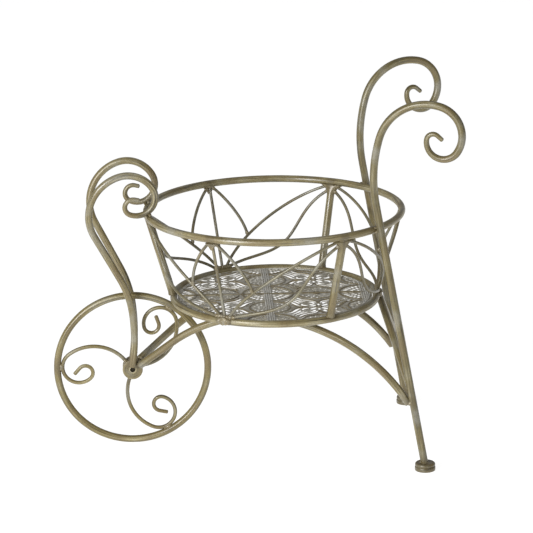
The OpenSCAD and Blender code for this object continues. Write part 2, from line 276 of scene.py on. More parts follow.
# the greasy end of the axle, almost black, and painted shade for the deep bore, with a dull glint
boreGreaseAndShade = paintLikeRods("greasedSteelInBore", dark="#0f0d0a", middle="#1b1812", pale="#3a352a",
                           brown="#1b150c", grey="#1d1b17", streakLength=3.0, shine=0.2, roughLow=0.6,
                           roughHigh=0.8)
print("materials made")


# Rods, drawn as bend tables: [radius, angle] turns left for a positive angle, [0, length] is straight

def bendLine(x, y, heading, table, step=2.5):
    points = []
    for radius, amount in table:
        if radius == 0:
            count = max(1, round(amount / step))
            points += [(x + amount * k / count * cosd(heading), y + amount * k / count * sind(heading))
                       for k in range(count)]
            x += amount * cosd(heading)
            y += amount * sind(heading)
        else:
            side = 1 if amount > 0 else -1
            count = max(3, math.ceil(radius * math.radians(abs(amount)) / step))
            cx, cy = x - side * radius * sind(heading), y + side * radius * cosd(heading)
            points += [(cx + side * radius * sind(heading + amount * k / count),
                        cy - side * radius * cosd(heading + amount * k / count)) for k in range(count)]
            heading += amount
            x, y = cx + side * radius * sind(heading), cy - side * radius * cosd(heading)
    return points + [(x, y)], (x, y, heading)


def runLengths(line, closed=False):
    total = [0.0]
    ends = line[1:] + ([line[0]] if closed else [])
    for a, b in zip(line, ends):
        total.append(total[-1] + (b - a).length)
    return total


def newMesh(name, points, faces, lines):
    # a smooth mesh whose points carry their place along and across the rod, which the streaks follow
    mesh = bpy.data.meshes.new(name)
    mesh.from_pydata([tuple(p) for p in points], [], faces)
    mesh.validate()
    mesh.shade_smooth()
    attribute = mesh.attributes.new("rodLine", "FLOAT_VECTOR", "POINT")
    attribute.data.foreach_set("vector", [v for line in lines for v in line])
    return mesh


def tube(line, radius, closed=False, domes=(0.4, 0.4), sides=20, side=up, dent=0.12, seed=0.0, stretch=None,
         coat=barrow["coat"]):
    # one rod: its middle line, its bare radius all along or at each point, how far each end is domed, how
    # deep its dents are, how much wider than thick it is at each point, measured along side, and the
    # build of the paint on it
    radii = radius if isinstance(radius, list) else [radius] * len(line)
    return {"line": [Vector(p) for p in line], "radii": [r + coat for r in radii], "closed": closed,
            "domes": domes, "sides": sides, "side": side, "dent": dent, "seed": seed,
            "stretch": stretch or [1.0] * len(line)}


def stations(rod):
    # places along a rod, each with its radius and stretch, and the loops of the domed ends put in
    line, radii, stretch = rod["line"], rod["radii"], rod["stretch"]
    runs = runLengths(line, rod["closed"])
    length = runs[-1]
    if rod["closed"]:
        return list(zip(runs, line, radii, stretch)), length

    def at(s):
        s = min(max(s, 0.0), length)
        i = min(len(runs) - 2, max(0, next((k for k, v in enumerate(runs) if v > s), len(runs) - 1) - 1))
        t = (s - runs[i]) / max(1e-9, runs[i + 1] - runs[i])
        return (line[i].lerp(line[i + 1], t), radii[i] * (1 - t) + radii[i + 1] * t,
                stretch[i] * (1 - t) + stretch[i + 1] * t)

    first, last = rod["domes"]
    steps = [18 * k for k in range(5)]
    found = [(first * (1 - cosd(a)), sind(a)) for a in steps[1:]] + [(first, 1.0)]
    found += [(s, 1.0) for s in runs if first + 0.6 < s < length - last - 0.6]
    found += [(length - last, 1.0)] + [(length - last * (1 - cosd(a)), sind(a)) for a in steps[:0:-1]]
    out = []
    for s, share in found:
        p, r, wider = at(s)
        out.append((s, p, r * share, wider))
    return out, length


def skinFaces(base, rows, sides, closed=False, flipped=False):
    # the faces between rows of points
    faces = []
    for i in range(rows if closed else rows - 1):
        a, b = base + i * sides, base + (i + 1) % rows * sides
        for j in range(sides):
            k = (j + 1) % sides
            faces.append((a + j, b + j, b + k, a + k) if flipped else (a + j, a + k, b + k, b + j))
    return faces


def tubeMesh(name, rods):
    points, faces, lines = [], [], []
    for rod in rods:
        rows, length = stations(rod)
        closed, sides = rod["closed"], rod["sides"]
        count = len(rows)
        middles = [row[1] for row in rows]
        heads = []
        for i in range(count):
            a = middles[(i - 1) % count] if closed or i else middles[0]
            b = middles[(i + 1) % count] if closed or i < count - 1 else middles[-1]
            heads.append((b - a).normalized())
        across = (rod["side"] - heads[0] * rod["side"].dot(heads[0])).normalized()
        base = len(points)
        for i, (s, p, r, wider) in enumerate(rows):
            across = (across - heads[i] * across.dot(heads[i])).normalized()
            other = heads[i].cross(across)
            run = abs(s - length / 2) if closed else s
            for j in range(sides):
                c, n = cosd(360 * j / sides), sind(360 * j / sides)
                spot = Vector((run / 16, c * 0.8, n * 0.8 + rod["seed"]))  # dents some 16 mm long
                dip = rod["dent"] * (0.5 + 0.5 * noise.noise(spot)) * (r / 5)
                points.append((p + (r - dip) * (c * wider * across + n * other)) * mm)
                lines.append((run * mm + rod["seed"], r * c * mm, r * n * mm + rod["seed"] * 0.37))
        faces += skinFaces(base, count, sides, closed)
        if not closed:
            for i, turn in ((0, -1), (count - 1, 1)):
                s, p = rows[i][:2]
                points.append(p * mm)
                lines.append((s * mm + rod["seed"], 0.0, rod["seed"] * 0.37))
                loop = [base + i * sides + j for j in range(sides)]
                for j in range(sides):
                    pair = (loop[j], loop[(j + 1) % sides])
                    faces.append((len(points) - 1,) + (pair if turn > 0 else pair[::-1]))
    return newMesh(name, points, faces, lines)


welds = []
madePieces = []


def weldAt(place, radii, out=up, flat=None, body="frame", lumps=0.14):
    # a weld bead: radii in mm along the seam, outward and across it. out points away from the joint.
    out = out.normalized()
    across = (flat - out * flat.dot(out)).normalized() if flat else out.orthogonal().normalized()
    welds.append({"place": Vector(place), "radii": radii, "axes": (across.cross(out), out, across),
                  "body": body, "lumps": lumps})


def newObject(name, data):
    made = bpy.data.objects.new(name, data)
    bpy.context.scene.collection.objects.link(made)
    return made


def addPiece(name, mesh, material, body, slot, nodes=()):
    piece = newObject(name, mesh)
    mesh.materials.append(material)
    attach(piece, body)
    if nodes:
        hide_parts(*nodes)
    madePieces.append(piece)


def addRods(name, rods, paint, nodes=(), body="frame", slot="rod_paint"):
    addPiece(name, tubeMesh(name, rods), paint, body, slot, nodes)


def flip(p):
    return Vector((p[0], -p[1], p[2]))


def roundWay(angle):
    return Vector((cosd(angle), sind(angle), 0))


def alongWay(angle):
    return Vector((-sind(angle), cosd(angle), 0))


def straightLine(start, end, count):
    return [start.lerp(end, k / count) for k in range(count + 1)]


def stoodUp(foot, turn, flat):
    # a line drawn flat, stood up on its foot in a plane turned toward the left side
    return [foot + Vector((u * cosd(turn), -u * sind(turn), v)) for u, v in flat]


def sidePair(name, line, radius, node, paint=rodPaint, **more):
    # the left piece and its mirror image on the right
    for label, points in (("Left", line), ("Right", [flip(p) for p in line])):
        rod = tube(points, radius, seed=len(madePieces) * 0.713, **more)
        addRods(name + label, [rod], paint, [node + "_" + label.lower()])


def circleLine(centre, radius, u, v, step=3.0):
    count = math.ceil(2 * math.pi * radius / step)
    return [centre + radius * (cosd(360 * k / count) * u + sind(360 * k / count) * v) for k in range(count)]


eastX, northY = Vector((1, 0, 0)), Vector((0, 1, 0))

# The wheel
hubSizes = {
    "hub": 26.0,
    "width": 13.0,
    "bore": 10.1,
    "sleeve": 10.0,
    "sleeveBore": 7.0,
    "lug": 28.0,
    "lugGap": 0.02,  # between the sleeve and the lug
    "hubEdge": 1.2,  # how far the outer edges are rounded
    "sleeveEdge": 0.5,
    "lugEdge": 0.9,
    "grease": 6.9,
    "greaseDepth": 2.6,  # from the lug's face in to the dark plug: the greasy axle end and painted shade of the bore
    "greaseThickness": 2.0,
}
hubCentre = Vector((wheelX, 0, wheelZ))
rimLine = circleLine(hubCentre, barrow["wheelRadius"] - barrow["coat"], -up, eastX)
rim = tube(rimLine, thinR, closed=True, side=northY, seed=3.1)
addRods("wheelRim", [rim], wheelPaint, ["wheel_rim"], "wheel", "wheel_paint")

spokeScroll = {
    "reach": 98.73,  # the bends below, before scaling, go this far from the middle of the wheel
    "start": (-6.97, 6.17, 122.9),
    "bends": [(57.5, 93.2), (23.2, 187.6), (10.6, 185.0), (0, 12.0)],
    "rimWeld": (7.0, 3.4, 4.2),
    "hubWeld": (3.4, 4.2, 3.6),
}
size = (barrow["wheelRadius"] - thinR - barrow["spoke"] / 2 - seat) / spokeScroll["reach"]
bends = [(r * size, a if r else a * size) for r, a in spokeScroll["bends"]]
x, y, heading = spokeScroll["start"]
flat, _ = bendLine(x * size, y * size, heading, bends, 2.2)
for label, turn in (("Front", 0), ("Lower", 120), ("Upper", 240)):
    line = [Vector((wheelX + u * cosd(turn) - v * sind(turn), 0, wheelZ + u * sind(turn) + v * cosd(turn)))
            for u, v in flat]
    rod = tube(line, barrow["spoke"] / 2, domes=(0.4, 1.6), sides=16, side=northY, seed=5.3 + turn)
    addRods("spoke" + label, [rod], wheelPaint, ["spoke_" + label.lower()], "wheel", "wheel_paint")
    touch = max(line, key=lambda p: (p - hubCentre).length)
    outward = (touch - hubCentre).normalized()
    weldAt(touch + outward * 2.2, spokeScroll["rimWeld"], outward, northY, "wheel")
    root = min(line, key=lambda p: abs((p - hubCentre).length - hubSizes["hub"] / 2))
    weldAt(root, spokeScroll["hubWeld"], (root - hubCentre).normalized(), northY, "wheel")
print("wheel made")


# Turned pieces: a profile of (radius, height) in mm, spun about an axis

def lathe(name, profile, centre, axis, closed=False, sides=64):
    # the paint's streaks run round the piece
    u = axis.orthogonal().normalized()
    v = axis.cross(u)
    points, lines, count = [], [], len(profile)
    for r, h in profile:
        for j in range(sides):
            c, n = cosd(360 * j / sides), sind(360 * j / sides)
            points.append((centre + axis * h + r * (c * u + n * v)) * mm)
            lines.append((math.radians(abs(360 * j / sides - 180)) * 12 * mm, r * mm, h * mm))
    faces = skinFaces(0, count, sides, closed)
    if not closed:
        faces.append(tuple(range(sides - 1, -1, -1)))
        faces.append(tuple(range((count - 1) * sides, count * sides)))
    mesh = newMesh(name, points, faces, lines)
    mesh.set_sharp_from_angle(angle=math.radians(38))
    return mesh


def roundedBox(rIn, rOut, low, high, edge):
    # a turned ring's section, with its outer corners rounded off and its inner ones cut aslant
    cut = edge * 0.4
    arc = [(sind(a), cosd(a)) for a in (0, 22.5, 45, 67.5, 90)]
    profile = [(rIn + cut, low), (rOut - edge, low)]
    profile += [(rOut - edge + edge * s, low + edge - edge * c) for s, c in arc[1:]]
    profile += [(rOut - edge + edge * c, high - edge + edge * s) for s, c in arc[:-1]]
    return profile + [(rOut - edge, high), (rIn + cut, high), (rIn, high - cut), (rIn, low + cut)]


def addTurnedRing(name, rIn, rOut, low, high, edge, *rest):
    addPiece(name, lathe(name, roundedBox(rIn, rOut, low, high, edge), hubCentre, northY, True), *rest)


sleeveR, halfWidth, greaseShadePlugR = hubSizes["sleeve"] / 2, hubSizes["width"] / 2, hubSizes["grease"] / 2
addTurnedRing("wheelHub", hubSizes["bore"] / 2, hubSizes["hub"] / 2, -halfWidth, halfWidth,
              hubSizes["hubEdge"], wheelPaint, "wheel", "wheel_paint", ["wheel_hub"])
addTurnedRing("axleSleeve", hubSizes["sleeveBore"] / 2, sleeveR, -lugOut, lugOut,
              hubSizes["sleeveEdge"], rodPaint, "frame", "rod_paint", ["axle_sleeve"])
for label, side in (("Left", -1), ("Right", 1)):
    low, high = sorted((side * lugIn, side * lugOut))
    addTurnedRing("axleLug" + label, sleeveR + hubSizes["lugGap"], hubSizes["lug"] / 2, low, high,
                  hubSizes["lugEdge"], rodPaint, "frame", "rod_paint", ["axle_lug_" + label.lower()])
    # a near-black plug sunk in each end of the bore: the greasy axle end, and painted shade in the bore
    cap = side * (lugOut - hubSizes["greaseDepth"])
    low, high = sorted((cap, cap - side * hubSizes["greaseThickness"]))
    plug = lathe("grease" + label, [(greaseShadePlugR, low), (greaseShadePlugR, high)], hubCentre, northY, sides=32)
    addPiece("grease" + label, plug, boreGreaseAndShade, "frame", "rod_paint")
print("hub made")

# The fork scrolls
forkScroll = {
    "start": (-0.4, 6.15, 81.9),
    "bends": [(0, 5.3), (280, 15.2), (151, 21), (0, 71.73), (58.7, -99.2), (40.1, -78.8)],
    "tail": [(25.3, -140.4), (11.4, -172), (0, 7)],
    "sunk": 0.55,  # how far its foot is let into the lug's face
}


def taperedLine(start, bends, tail, thick, thin, step=2.5):
    # a bent rod of one radius whose tail is forged down to a thinner tip
    body, end = bendLine(*start, bends, step)
    curl, _ = bendLine(*end, tail, step * 0.7)
    radii = [thick] * (len(body) - 1)
    radii += [thick + (thin - thick) * k / (len(curl) - 1) for k in range(len(curl))]
    return body[:-1] + curl, radii


flat, forkRadii = taperedLine(forkScroll["start"], forkScroll["bends"], forkScroll["tail"], thinR, tipR)
toe, tilt = barrow["forkToe"], barrow["forkTilt"]
forkFoot = Vector((wheelX, -lugOut - thinR + forkScroll["sunk"], wheelZ))
forkLine = []
for u, v in flat:
    back = -v * sind(tilt)
    forkLine.append(forkFoot + Vector((u * cosd(toe) - back * sind(toe), u * sind(toe) + back * cosd(toe),
                                       v * cosd(tilt))))
sidePair("forkScroll", forkLine, forkRadii, "fork_scroll", domes=(0.4, 2.0))

# The arches
archRod = {
    "behind": 10.4,  # its foot, behind and above the axle
    "above": 7.49,
    "outside": 1.4,  # from the lug's face out to its middle line
    "heading": 37.7,
    "bends": [(218, -44.7), (245.3, -49.2)],
    "legHeight": 91.5,  # where it is welded to the leg
}
archFootZ, heading, crownR = wheelZ + archRod["above"], archRod["heading"], archRod["bends"][0][0]
archTopZ = baseZ - 2 * rodR - seat  # its crown just meets the base ring from below
archRise = (archTopZ - archFootZ - crownR * (1 - cosd(heading))) / sind(heading)
flat, _ = bendLine(archRod["behind"], archFootZ, heading, [(0, archRise)] + archRod["bends"])
archLine = stoodUp(Vector((wheelX, -lugOut - archRod["outside"], 0)), barrow["archTurn"], flat)
sidePair("arch", archLine, rodR, "arch", domes=(0.5, 0.3))

# The legs, each one rod up to the scrolled handle
legHandle = {
    "passes": 42.4,  # degrees round the top ring, from the back, to where the leg passes it
    "foot": 4.5,
    "rise": 34.8,  # the straight length above the top ring
    "bends": [(196.0, -27.25), (67.85, -87.6), (39.7, -109.6)],
    "tail": [(22.5, -153.9), (9.1, -123.0), (0, 9.5)],
}
legPhi = legHandle["passes"]
legReach = topR + (2 * rodR + seat) / cosd(lean)
legPass = Vector((basketX + legReach * cosd(legPhi), -legReach * sind(legPhi), topZ))


def legAt(z):
    # the left leg's middle line at a height
    away = (topZ - z) * tand(lean)
    return Vector((legPass.x + away * cosd(barrow["legTurn"]), legPass.y - away * sind(barrow["legTurn"]), z))


straight = (topZ - legHandle["foot"]) / cosd(lean) + legHandle["rise"]
flat, legRadii = taperedLine((0, 0, 90 + lean), [(0, straight)] + legHandle["bends"],
                             legHandle["tail"], rodR, tipR)
legLine = stoodUp(legAt(legHandle["foot"]), barrow["legTurn"], flat)
sidePair("leg", legLine, legRadii, "leg", legPaint, domes=(0.4, 2.0))

# The braces
braceRod = {
    "beside": 5.7,  # its upper end, beside the middle of the barrow
    "outside": 0.55,  # and behind and under the base ring, in parts of the two rods' distance
    "under": 0.72,
    "legHeight": 112.0,  # where it meets the leg
}
away = rodR + thinR + seat
braceBack = Vector((basketX + baseR + away * braceRod["outside"], -braceRod["beside"],
                    baseZ - away * braceRod["under"]))
braceLine = straightLine(braceBack, legAt(braceRod["legHeight"]), 40)
sidePair("brace", braceLine, thinR, "brace", domes=(1.2, 0.3))
print("side frames made")

# The rings, with less paint on them than on the rods
ringStart = 70  # degrees from the back, where their streaks begin
ringCoat = 0.05
for label, radius, height, seed in (("topRing", topR, topZ, 7.7), ("baseRing", baseR, baseZ, 9.1)):
    line = circleLine(Vector((basketX, 0, height)), radius, roundWay(ringStart), alongWay(ringStart))
    ring = tube(line, rodR, closed=True, sides=24, seed=seed, coat=ringCoat)
    addRods(label, [ring], ringPaint, [label[:-4] + "_ring"])


# The basket lies on the cone between the rings
coneLean = math.degrees(math.atan2(topR - baseR, topZ - baseZ))


def coneRadius(z):
    return baseR + (z - baseZ) * (topR - baseR) / (topZ - baseZ)


def onCone(angle, z, phi):
    turn = phi + barrow["basketTurn"] + angle
    r = coneRadius(z)
    return Vector((basketX + r * cosd(turn), r * sind(turn), z))


posts = {
    "radius": 5.15,
    "short": 4.2,  # from a ring's middle to the end of the post
    "flareHalfWidth": 18.0,
    "flareLength": 16.0,
    "flarePower": 2.6,
    "footLength": 6.0,
    "footSwell": 0.8,
    "footWeld": (7.0, 2.6, 5.4),
    "topWeld": (13.4, 3.4, 5.1),
}
count = 60
for label, phi in (("Front", 180), ("Left", -60), ("Right", 60)):
    bottom, top = onCone(0, baseZ + posts["short"], phi), onCone(0, topZ - posts["short"], phi)
    line = straightLine(bottom, top, count)
    length = (top - bottom).length
    radii, wider = [], []
    for k in range(count + 1):
        toTop = max(0, 1 - length * (1 - k / count) / posts["flareLength"])
        toBase = ease(1 - length * k / count / posts["footLength"])
        radii.append(posts["radius"] + posts["footSwell"] * toBase)
        wider.append(1 + (posts["flareHalfWidth"] / posts["radius"] - 1) * toTop ** posts["flarePower"])
    rod = tube(line, radii, domes=(0.3, 0.3), sides=28, side=alongWay(phi), seed=11.0 + phi, stretch=wider)
    addRods("post" + label, [rod], rodPaint, ["post_" + label.lower()])
    ringWay = roundWay(phi)
    weldAt(onCone(0, baseZ + rodR - 0.6, phi), posts["footWeld"], up, ringWay)
    weldAt(onCone(0, topZ - rodR, phi), posts["topWeld"], up, ringWay, lumps=0.3)


# The basket wires: curves of (angle from the fan, height) on the cone
fanHeights = (214.7, 326.8)  # the curves are drawn between these


def bezier(curve, t):
    curve = [Vector(p) for p in curve]
    while len(curve) > 1:
        curve = [a.lerp(b, t) for a, b in zip(curve, curve[1:])]
    return curve[0]


def rise(z):
    # a drawn height, carried over to the space between the rings
    low, high = baseZ + rodR, topZ - rodR
    return low + (z - fanHeights[0]) * (high - low) / (fanHeights[1] - fanHeights[0])


def besidePost(gap, z):
    # where a wire ends beside a post; a negative gap lets it into the post's flare
    return 60 - (thinR + wireR + gap) / coneRadius(z) * 180 / math.pi, z


fanCurves = {
    "upper": [(2.5, 215.54), (10.7, 246.5), (40.7, 309.3), (57.4, 325.18)],
    "lower": [(4.7, 216.3), (25.7, 233.9), (47.1, 224), (37.7, 280.9), besidePost(-0.68, 318.6)],
    "lowerHigh": [(4.7, 216.3), (17.6, 240.1), (39.3, 253), (58.8, 245.5), besidePost(0.12, 314.5)],
    "lowerLow": [(4.7, 216.3), (10.7, 217), (37.6, 236.4), (58.4, 235), (45.5, 262.1),
                 besidePost(0.12, 314.5)],
    "leaf": [(1.7, 325.55), (7, 311.8), (15.6, 278.6), (17, 258.8)],
}
fanWelds = {
    "wireEnd": (3.0, 4.2, 3.0),
    "foot": (12.4, 7.0, 5.4),
    "footDown": 3.4,
    "footOut": 2.9,
    "footRows": [(-1.4, 0.4, (-8.6, -4.4, -0.4, 4.0, 8.2)),  # down, out and steps along the ring
                 (3.4, 3.4, (-7.2, -3.2, 1.4, 5.6))],
    "top": (9.6, 2.4, 3.2),
    "webLength": 10,
    "webSpread": 2.6,
    "webPower": 1.6,
}


def fanWire(curve, phi, side, seed, count=48):
    line = []
    for k in range(count + 1):
        angle, z = bezier(fanCurves[curve], k / count)
        line.append(onCone(side * angle, rise(z), phi))
    return tube(line, wireR, domes=(0.5, 0.5), sides=12, dent=0.08, seed=seed)


bentByHand = {("lower", "Left", -1): "lowerLow", ("lower", "Right", 1): "lowerHigh"}  # unlike the others
for label, phi in (("Rear", 0), ("Left", -120), ("Right", 120)):
    for kind in ("upper", "lower", "leaf"):
        wires = [fanWire(bentByHand.get((kind, label, side), kind), phi, side,
                         phi * 0.31 + side + len(kind)) for side in (1, -1)]
        addRods(kind + "Wires" + label, wires, wirePaint, [kind + "_wires_" + label.lower()],
                slot="wire_paint")
        for wire in wires:
            for end, inner in ((0, 1), (-1, -2)):
                tip = wire["line"][end]
                run = (tip - wire["line"][inner]).normalized()
                weldAt(tip - run * 0.8, fanWelds["wireEnd"], run)
    clear = (rodR + 0.1) * cosd(coneLean)
    bottom, top = onCone(0, baseZ + clear, phi), onCone(0, topZ - clear, phi)
    rod = tube(straightLine(bottom, top, 40), wireR, sides=12, dent=0.08, side=northY, seed=phi * 0.7)
    addRods("midrib" + label, [rod], wirePaint, ["midrib_" + label.lower()], slot="wire_paint")
    ringWay = roundWay(phi)
    ringRun = up.cross(ringWay)
    weldAt(bottom - up * fanWelds["footDown"] + ringWay * fanWelds["footOut"], fanWelds["foot"], up, ringWay,
           lumps=0.38)
    for drop, outward, steps in fanWelds["footRows"]:
        for k, step in enumerate(steps):  # a row of overlapping beads on the ring and one down its face
            spot = bottom - up * drop + ringWay * outward + ringRun * step
            weldAt(spot, (4.1, 4.0 - 0.4 * (k % 2), 3.7), up, ringWay, lumps=0.3)
    long = fanWelds["webLength"]  # the web of weld metal between the midrib's top and the ring
    web = [top - up * long + (top - bottom).normalized() * k for k in range(long + 1)]
    spread = [1 + fanWelds["webSpread"] * (k / long) ** fanWelds["webPower"] for k in range(long + 1)]
    rod = tube(web, wireR + 0.5, sides=20, side=ringRun, domes=(1, 0.3), stretch=spread, seed=phi * 0.7)
    addRods("web" + label, [rod], weldPaint)
    weldAt(top + up * 1.2, fanWelds["top"], up, ringWay)
print("basket made")

# The feet
footCap = {"diameter": 28.0, "height": 11.0}
footR, footH = footCap["diameter"] / 2, footCap["height"]
footProfile = [(footR - 0.9, 0), (footR - 0.25, 0.25), (footR, 0.9), (footR, 4.9),
               (footR - 0.3, 5.4), (footR - 0.95, 5.8), (footR - 1.2, 6.2), (footR - 1.1, 6.6),  # the groove
               (footR - 0.5, 7.0), (footR - 0.3, 7.5), (footR - 0.3, 8.8), (footR - 0.7, 9.9),
               (footR - 1.6, 10.7), (footR - 2.8, footH), (footR - 5.5, footH), (rodR + 1.2, footH)]
for label, side in (("Left", -1), ("Right", 1)):
    middle = legAt(footH / 2)
    centre = Vector((middle.x, middle.y * -side, 0))
    addPiece("foot" + label, lathe("foot" + label, footProfile, centre, up), footPaint, "frame", "foot_paint",
             ["foot_" + label.lower()])
    collar = legAt(footH)
    weldAt(Vector((collar.x, collar.y * -side, footH - 0.3)), (7.0, 1.8, 7.0), up, northY)

# The openwork plate: square tiles, each with a flower, scrolls round it and a fan of slots in every corner
plate = {
    "edge": 134.7,
    "border": 131.2,
    "rise": 0.8,  # its upper face above the middle of the base ring
    "thickness": 0.6,  # thinner than the solid plate, so that its openings show at a low angle
    "bevel": 0.12,
    "tile": 134.0,
    "shift": (-10.0, 2.6),
    "bandHalf": 5.0,  # plain strip kept beside the tiles' edges that run across the barrow
    "ridgeHalf": 1.6,  # and beside those that run along it
    "cornerRows": [(8.5, 13.5, 3, 3.2), (16.0, 22.0, 5, 3.6), (24.5, 31.5, 7, 3.6)],  # from, to, slots, width
    "edgeRows": [(7.0, 11.0, 3, 2.6), (13.2, 18.0, 6, 2.6), (20.0, 24.2, 9, 2.4)],
    "cornerRim": 35.0,
    "edgeRim": 27.5,
    "scrolls": [  # curve beside one axis of the tile, and width
        ([(19.5, 3.2), (27, 3.2), (34, 5.5), (30.5, 18.5), (37, 25.5), (47, 30)], 6.4),
        ([(14, 6.8), (19, 5.8), (24, 8.5), (22, 15.5)], 4.6),
        ([(26, 16), (27, 21.5), (31.5, 29.5), (43, 36.5)], 3.6),
        ([(40.5, 20), (46, 24), (52, 26), (59, 25.5)], 2.8),
    ],
    "petals": [([(3.4, 3.4), (8, 8), (12.4, 12.4)], 5.6), ([(20.5, 20.5), (24, 24), (27.5, 27.5)], 3.0)],
    "slots": [(10.2, 0, 0, 8.0, 3.0), (36.5, 36.5, 45, 4.5, 2.6)],  # place, angle, length and width
    "vein": [(17, 0.8), (26, 0.6), (37, 4.5), (34, 17), (38, 22.5), (48, 26)],
    "eyeRim": 5.0,
    "flowerRim": 4.0,
    "bandSteps": (-4.4, -1.5, 1.5, 4.4),  # the raised lines of a band, from its middle
    "tackReach": 134.6,
}
ridgeRadii = {"corner": 1.3, "edge": 1.2, "eye": 0.9, "vein": 0.9, "flower": 0.8, "spine": 1.7, "rim": 1.1,
              "band": 1.15}
plateTop = baseZ + plate["rise"]
tiles = [(x, y) for x in (-0.5, 0.5) for y in (-0.5, 0.5)]


def strip(curve, width, lean=0.8, count=14):
    # a closed outline round a smooth curve, pointed at both ends and widest where lean puts it
    left, right = [], []
    for k in range(count + 1):
        t = k / count
        run = (bezier(curve, min(1, t + 0.01)) - bezier(curve, max(0, t - 0.01))).normalized()
        half = width / 2 * max(0.0, sind(180 * t ** lean)) ** 0.6
        m = bezier(curve, t)
        left.append((m.x - run.y * half, m.y + run.x * half))
        if 0 < k < count:
            right.append((m.x + run.y * half, m.y - run.x * half))
    return left + right[::-1]


def slotOutline(x, y, angle, length, width):
    # a slot with rounded ends
    out = []
    for end in (1, -1):
        for a in (-90, -45, 0, 45, 90):
            u = end * ((length - width) / 2 + width / 2 * cosd(a))
            v = end * width / 2 * sind(a)
            out.append((x + u * cosd(angle) - v * sind(angle), y + u * sind(angle) + v * cosd(angle)))
    return out


def turned(points, angle):
    return [(x * cosd(angle) - y * sind(angle), x * sind(angle) + y * cosd(angle)) for x, y in points]


def tileOutlines():
    half = plate["tile"] / 2
    quarter = []
    for low, high, count, width in plate["cornerRows"]:
        for k in range(count):
            a, r = 3 + 84 * (k + 0.5) / count, (low + high) / 2
            quarter.append(slotOutline(r * cosd(a) - half, r * sind(a) - half, a, high - low, width))
    for low, high, count, width in plate["edgeRows"]:
        for k in range(count):
            a, r = 90 + 180 * (k + 0.5) / count, (low + high) / 2
            if r * cosd(a) < -5:
                quarter.append(slotOutline(half + r * cosd(a), r * sind(a), a, high - low, width))
    for curve, width in plate["scrolls"]:
        quarter += [strip([(x, y * side) for x, y in curve], width) for side in (1, -1)]
    quarter += [strip(curve, width, 1.15) for curve, width in plate["petals"]]
    quarter += [slotOutline(*slot) for slot in plate["slots"]]
    found = [turned(loop, turn) for turn in (0, 90, 180, 270) for loop in quarter]
    return [loop for loop in found if max(abs(x) for x, y in loop) < half - plate["bandHalf"]
            and max(abs(y) for x, y in loop) < half - plate["ridgeHalf"]]


def onPlate(x, y, tileX, tileY):
    return (x + plate["shift"][0] + tileX * plate["tile"],
            y + plate["shift"][1] + tileY * plate["tile"])


def addPlate():
    curve = bpy.data.curves.new("basePlate", "CURVE")
    curve.dimensions = "2D"
    curve.fill_mode = "BOTH"
    curve.extrude = (plate["thickness"] / 2 - plate["bevel"]) * mm
    curve.bevel_depth = plate["bevel"] * mm
    curve.bevel_resolution = 1
    edge = plate["edge"] - 0.2
    loops = [[(edge * cosd(a), edge * sind(a)) for a in range(0, 360, 3)]]
    for tile in tiles:
        for loop in tileOutlines():
            loop = [onPlate(x, y, *tile) for x, y in loop]
            if max(math.hypot(x, y) for x, y in loop) < plate["border"]:
                loops.append(loop)
    for loop in loops:
        spline = curve.splines.new("POLY")
        spline.points.add(len(loop) - 1)
        for point, (x, y) in zip(spline.points, loop):
            point.co = (x * mm, y * mm, 0, 1)
        spline.use_cyclic_u = True
    holder = newObject("plateOutline", curve)
    bpy.context.view_layer.update()
    mesh = bpy.data.meshes.new_from_object(holder)
    bpy.data.objects.remove(holder)
    mesh.name = "basePlate"
    middle = plateTop - plate["thickness"] / 2
    mesh.transform(Matrix.Translation(Vector((basketX, 0, middle)) * mm))
    mesh.materials.clear()
    addPiece("basePlate", mesh, platePaint, "frame", "plate_paint", ["base_plate"])


def ridge(points, radius, closed=False, seed=0.0):
    # a raised line, a third of it above the plate
    z = plateTop - radius * 0.35
    line = [Vector((basketX + x, y, z)) for x, y in points]
    return tube(line, radius, closed=closed, domes=(radius, radius), sides=8, dent=0.0, seed=seed)


def inside(points):
    # the stretches of a line that lie within the plate's border
    runs, run = [], []
    for p in points:
        if math.hypot(*p) < plate["border"] + 2:
            run.append(p)
        else:
            runs.append(run)
            run = []
    return [run for run in runs + [run] if len(run) > 3]


def addPlateRidges():
    # the pressed pattern's raised lines: round each fan and beside the scrolls, and one along the barrow
    half, border = plate["tile"] / 2, plate["border"]
    ridges = []
    for tile in tiles:
        for turn in (0, 90, 180, 270):
            rim, hump, eye = plate["cornerRim"], plate["edgeRim"], plate["eyeRim"]
            lines = [("corner", [(rim * cosd(a) - half, rim * sind(a) - half) for a in range(3, 90, 4)]),
                     ("edge", [(half - hump * cosd(a), hump * sind(a)) for a in range(-80, 81, 8)]),
                     ("eye", [(half - eye * cosd(a), eye * sind(a)) for a in range(-80, 81, 16)])]
            vein = [bezier(plate["vein"], k / 16) for k in range(17)]
            lines += [("vein", [(p.x, p.y * side) for p in vein]) for side in (1, -1)]
            for kind, points in lines:
                placed = [onPlate(x, y, *tile) for x, y in turned(points, turn)]
                ridges += [ridge(run, ridgeRadii[kind], seed=len(ridges) * 0.37) for run in inside(placed)]
        petal = plate["flowerRim"]
        flower = [onPlate(petal * cosd(a), petal * sind(a), *tile) for a in range(0, 360, 30)]
        ridges.append(ridge(flower, ridgeRadii["flower"], closed=True))
    spread = int(border + 1)
    spine = [(x, plate["shift"][1]) for x in range(-spread, spread, 6)]
    ridges.append(ridge(spine, ridgeRadii["spine"]))
    addRods("plateRidges", ridges, ridgePaint, slot="plate_paint")
    bands = [ridge([(border * cosd(a), border * sind(a)) for a in range(0, 360, 4)], ridgeRadii["rim"],
                   closed=True)]
    for middle in (plate["shift"][0], plate["shift"][0] + plate["tile"]):
        for step in plate["bandSteps"]:
            x = middle + step
            reach = math.sqrt(max(1, border ** 2 - x ** 2))
            if reach > 12:
                band = [(x, reach * (k / 20 - 1)) for k in range(41)]
                bands.append(ridge(band, ridgeRadii["band"], seed=step))
    addRods("plateBands", bands, bandPaint, slot="plate_paint")


addPlate()
addPlateRidges()
print("plate made")


